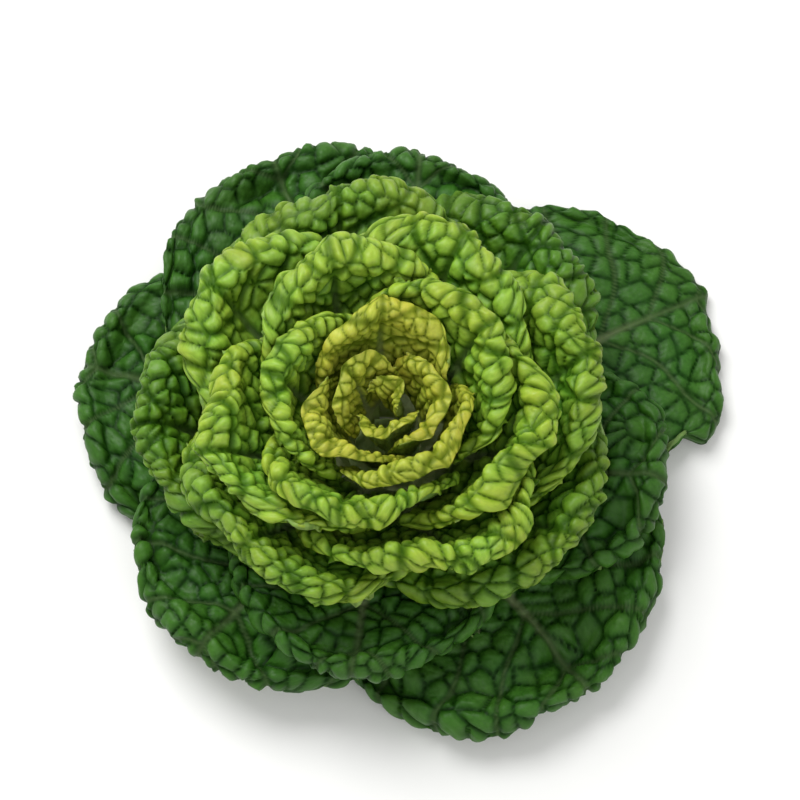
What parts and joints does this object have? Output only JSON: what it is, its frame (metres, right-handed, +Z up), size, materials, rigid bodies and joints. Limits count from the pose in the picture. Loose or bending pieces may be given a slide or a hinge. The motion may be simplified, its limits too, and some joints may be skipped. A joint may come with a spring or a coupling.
{
  "type": "tatsoi",
  "caption": "Low rosette of savoyed leaves round a short cut stem, yellow and tightly furled in the middle, dark green and spreading outside.",
  "frame": {"origin": "centre of the stem's flat cut face, on which the plant stands", "axes": "+Z up out of the heart along the stem, +X towards the largest outer leaf's side, +Y to the side the outer rings lean to, with the plant's front at -Y"},
  "size_m": [0.2485, 0.232, 0.0854],
  "materials": {
    "stem": "pale green, moist, faintly ribbed",
    "heart_leaf": "satin, yellow, tightly puckered",
    "head_leaf": "satin, light green with yellow tints, blistered",
    "outer_leaf": "soft gloss, dark green, coarsely blistered, pale veins"
  },
  "bodies": {
    "root": {"stem": "stem", "heart_leaf_01": "heart_leaf", "heart_leaf_02": "heart_leaf", "heart_leaf_03": "heart_leaf", "heart_leaf_04": "heart_leaf", "heart_leaf_05": "heart_leaf", "heart_leaf_06": "heart_leaf", "heart_leaf_07": "heart_leaf", "head_leaf_01": "head_leaf", "head_leaf_02": "head_leaf", "head_leaf_03": "head_leaf", "head_leaf_04": "head_leaf", "head_leaf_05": "head_leaf", "head_leaf_06": "head_leaf", "head_leaf_07": "head_leaf", "head_leaf_08": "head_leaf", "head_leaf_09": "head_leaf", "head_leaf_10": "head_leaf", "head_leaf_11": "head_leaf", "head_leaf_12": "head_leaf", "head_leaf_13": "head_leaf", "head_leaf_14": "head_leaf", "head_leaf_15": "head_leaf", "outer_leaf_01": "outer_leaf", "outer_leaf_02": "outer_leaf", "outer_leaf_03": "outer_leaf", "outer_leaf_04": "outer_leaf", "outer_leaf_05": "outer_leaf", "outer_leaf_06": "outer_leaf", "outer_leaf_07": "outer_leaf", "outer_leaf_08": "outer_leaf"}
  },
  "joints": []
}
